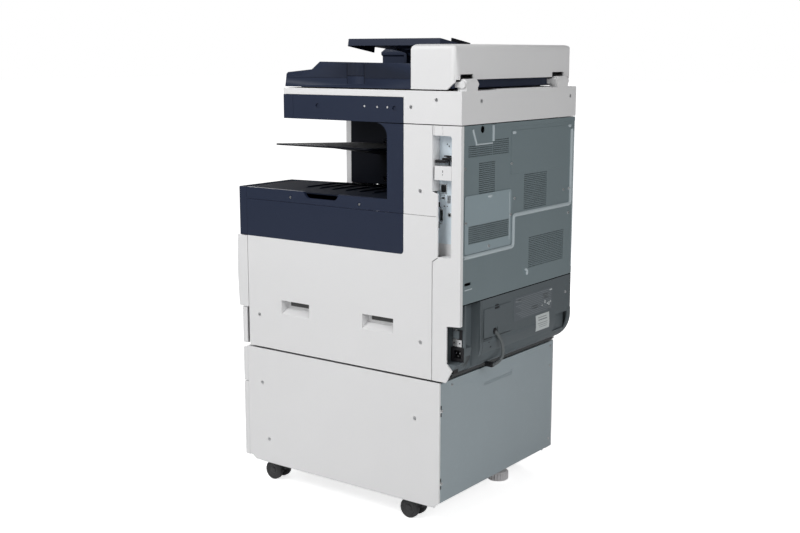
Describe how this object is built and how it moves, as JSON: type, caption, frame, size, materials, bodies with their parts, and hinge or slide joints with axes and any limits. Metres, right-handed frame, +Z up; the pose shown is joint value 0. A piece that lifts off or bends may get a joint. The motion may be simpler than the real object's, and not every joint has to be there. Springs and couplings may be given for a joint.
{
  "type": "floor-standing photocopier",
  "caption": "Floor-standing multifunction photocopier with document feeder, in-body output tray and a paper module on casters.",
  "frame": {"origin": "middle of the bounding box, on the floor", "axes": "+Z up, -Y the front with the drawers and doors, +X the open side of the output tray"},
  "size_m": [0.59, 0.6959, 1.1335],
  "materials": {
    "light_plastic": "fine moulded texture",
    "dark_plastic": "fine moulded texture",
    "deep_dark_plastic": "fine moulded texture",
    "rear_steel": "satin powder paint",
    "cabinet_steel": "satin powder paint",
    "grey_plastic": "fine moulded texture",
    "frame_steel": "zinc-plated sheet",
    "black_plastic": "satin",
    "caster_tread": "matt hard rubber",
    "drawer_plastic": "satin",
    "foot_plastic": "satin",
    "blue_sheet": "satin",
    "cable_jacket": "soft satin",
    "fuser_plastic": "heat-resistant, matt",
    "glass": "clear float glass",
    "roller_rubber": "matt",
    "screw_steel": "bright zinc"
  },
  "bodies": {
    "machine": {"cabinet_frame": "frame_steel", "cabinet_right_cover": "light_plastic", "cabinet_left_cover": "light_plastic", "cabinet_rear_panel": "cabinet_steel", "levelling_feet": "foot_plastic", "engine_frame": "frame_steel", "upper_front_cover": "dark_plastic", "right_lower_cover": "light_plastic", "side_band": "dark_plastic", "inner_side_trim": "dark_plastic", "output_tray": "dark_plastic", "right_upper_cover": "light_plastic", "rear_corner_cover": "light_plastic", "exit_housing": "deep_dark_plastic", "left_cover": "light_plastic", "exit_shelf": "deep_dark_plastic", "rear_panel": "rear_steel", "rear_access_plate": "rear_steel", "rear_lower_cover": "grey_plastic", "rear_connector_cover": "grey_plastic", "io_panel": "blue_sheet", "io_cap": "light_plastic", "power_inlet": "black_plastic", "link_cable": "cable_jacket", "toner_cartridges": "black_plastic", "fuser_unit": "fuser_plastic", "scanner_housing": "light_plastic", "scanner_trim": "dark_plastic", "platen_glass": "glass", "feeder_hinges": "light_plastic", "cover_screws": "screw_steel"},
    "swivel_front_right": {"caster_fork_front_right": "black_plastic"},
    "wheel_front_right": {"caster_wheel_front_right": "caster_tread"},
    "swivel_front_left": {"caster_fork_front_left": "black_plastic"},
    "wheel_front_left": {"caster_wheel_front_left": "caster_tread"},
    "swivel_rear_right": {"caster_fork_rear_right": "black_plastic"},
    "wheel_rear_right": {"caster_wheel_rear_right": "caster_tread"},
    "swivel_rear_left": {"caster_fork_rear_left": "black_plastic"},
    "wheel_rear_left": {"caster_wheel_rear_left": "caster_tread"},
    "drawer_1": {"tray_1_box": "drawer_plastic", "tray_1_front": "light_plastic"},
    "drawer_2": {"tray_2_box": "drawer_plastic", "tray_2_front": "light_plastic"},
    "drawer_3": {"tray_3_box": "drawer_plastic", "tray_3_front": "light_plastic"},
    "front_door": {"front_door": "light_plastic"},
    "left_door": {"left_door": "light_plastic"},
    "bypass_tray": {"bypass_tray": "light_plastic"},
    "fan": {"cooling_fan": "black_plastic"},
    "carriage": {"scan_carriage": "black_plastic"},
    "panel": {"control_panel": "black_plastic"},
    "home_button": {"home_button": "light_plastic"},
    "power_button": {"power_button": "light_plastic"},
    "lid": {"feeder_body": "dark_plastic", "feeder_rear_cover": "light_plastic"},
    "feeder_top": {"feeder_top_cover": "dark_plastic"},
    "input_tray": {"input_tray": "dark_plastic"},
    "guide_front": {"guide_front": "deep_dark_plastic"},
    "guide_rear": {"guide_rear": "deep_dark_plastic"},
    "feed_roller": {"feed_roller": "roller_rubber"}
  },
  "joints": [
    {"name": "caster_swivel_front_right", "type": "hinge", "parent": "machine", "child": "swivel_front_right", "pos_m": [0.248, -0.244, 0.052], "axis": [0, 0, 1], "continuous": true},
    {"name": "caster_roll_front_right", "type": "hinge", "parent": "swivel_front_right", "child": "wheel_front_right", "pos_m": [0.248, -0.262, 0.025], "axis": [1, 0, 0], "continuous": true},
    {"name": "caster_swivel_front_left", "type": "hinge", "parent": "machine", "child": "swivel_front_left", "pos_m": [-0.186, -0.244, 0.052], "axis": [0, 0, 1], "continuous": true},
    {"name": "caster_roll_front_left", "type": "hinge", "parent": "swivel_front_left", "child": "wheel_front_left", "pos_m": [-0.186, -0.262, 0.025], "axis": [1, 0, 0], "continuous": true},
    {"name": "caster_swivel_rear_right", "type": "hinge", "parent": "machine", "child": "swivel_rear_right", "pos_m": [0.248, 0.195, 0.052], "axis": [0, 0, 1], "continuous": true},
    {"name": "caster_roll_rear_right", "type": "hinge", "parent": "swivel_rear_right", "child": "wheel_rear_right", "pos_m": [0.248, 0.177, 0.025], "axis": [1, 0, 0], "continuous": true},
    {"name": "caster_swivel_rear_left", "type": "hinge", "parent": "machine", "child": "swivel_rear_left", "pos_m": [-0.186, 0.195, 0.052], "axis": [0, 0, 1], "continuous": true},
    {"name": "caster_roll_rear_left", "type": "hinge", "parent": "swivel_rear_left", "child": "wheel_rear_left", "pos_m": [-0.186, 0.177, 0.025], "axis": [1, 0, 0], "continuous": true},
    {"name": "drawer_1_slide", "type": "slide", "parent": "machine", "child": "drawer_1", "axis": [0, -1, 0], "range_m": [0, 0.42]},
    {"name": "drawer_2_slide", "type": "slide", "parent": "machine", "child": "drawer_2", "axis": [0, -1, 0], "range_m": [0, 0.42]},
    {"name": "drawer_3_slide", "type": "slide", "parent": "machine", "child": "drawer_3", "axis": [0, -1, 0], "range_m": [0, 0.42]},
    {"name": "front_door_hinge", "type": "hinge", "parent": "machine", "child": "front_door", "pos_m": [0.034, -0.334, 0.472], "axis": [1, 0, 0], "range_deg": [0, 90]},
    {"name": "left_door_hinge", "type": "hinge", "parent": "machine", "child": "left_door", "pos_m": [-0.258, 0.174, 0.657], "axis": [0, 0, -1], "range_deg": [0, 85]},
    {"name": "bypass_tray_hinge", "type": "hinge", "parent": "left_door", "child": "bypass_tray", "pos_m": [-0.284, 0, 0.514], "axis": [0, -1, 0], "range_deg": [0, 80]},
    {"name": "fan_spin", "type": "hinge", "parent": "machine", "child": "fan", "pos_m": [-0.037, 0.313, 0.773], "axis": [0, 1, 0], "continuous": true},
    {"name": "carriage_slide", "type": "slide", "parent": "machine", "child": "carriage", "axis": [1, 0, 0], "range_m": [0, 0.4]},
    {"name": "panel_tilt", "type": "hinge", "parent": "machine", "child": "panel", "pos_m": [-0.089, -0.188, 0.992], "axis": [-1, 0, 0], "range_deg": [0, 30]},
    {"name": "home_button_press", "type": "slide", "parent": "panel", "child": "home_button", "axis": [0, 0.1564, -0.9877], "range_m": [0, 0.0012], "stiffness_N_per_m": 300},
    {"name": "power_button_press", "type": "slide", "parent": "panel", "child": "power_button", "axis": [0, 0.1564, -0.9877], "range_m": [0, 0.0012], "stiffness_N_per_m": 300},
    {"name": "lid_hinge", "type": "hinge", "parent": "machine", "child": "lid", "pos_m": [0.03, 0.327, 1.03], "axis": [-1, 0, 0], "range_deg": [0, 65]},
    {"name": "feeder_top_hinge", "type": "hinge", "parent": "lid", "child": "feeder_top", "pos_m": [-0.214, 0.02, 1.062], "axis": [0, -1, 0], "range_deg": [0, 75]},
    {"name": "input_tray_hinge", "type": "hinge", "parent": "lid", "child": "input_tray", "pos_m": [-0.052, 0.06, 1.096], "axis": [0, -1, 0], "range_deg": [0, 30]},
    {"name": "guide_front_slide", "type": "slide", "parent": "input_tray", "child": "guide_front", "axis": [0, 1, 0], "range_m": [0, 0.07]},
    {"name": "guide_rear_slide", "type": "slide", "parent": "input_tray", "child": "guide_rear", "axis": [0, 1, 0], "range_m": [-0.07, 0]},
    {"name": "feed_roller_spin", "type": "hinge", "parent": "lid", "child": "feed_roller", "pos_m": [-0.11, 0.06, 1.046], "axis": [0, 1, 0], "continuous": true}
  ],
  "couplings": [
    {"joint": "guide_rear_slide", "follows": "guide_front_slide", "ratio": -1}
  ]
}
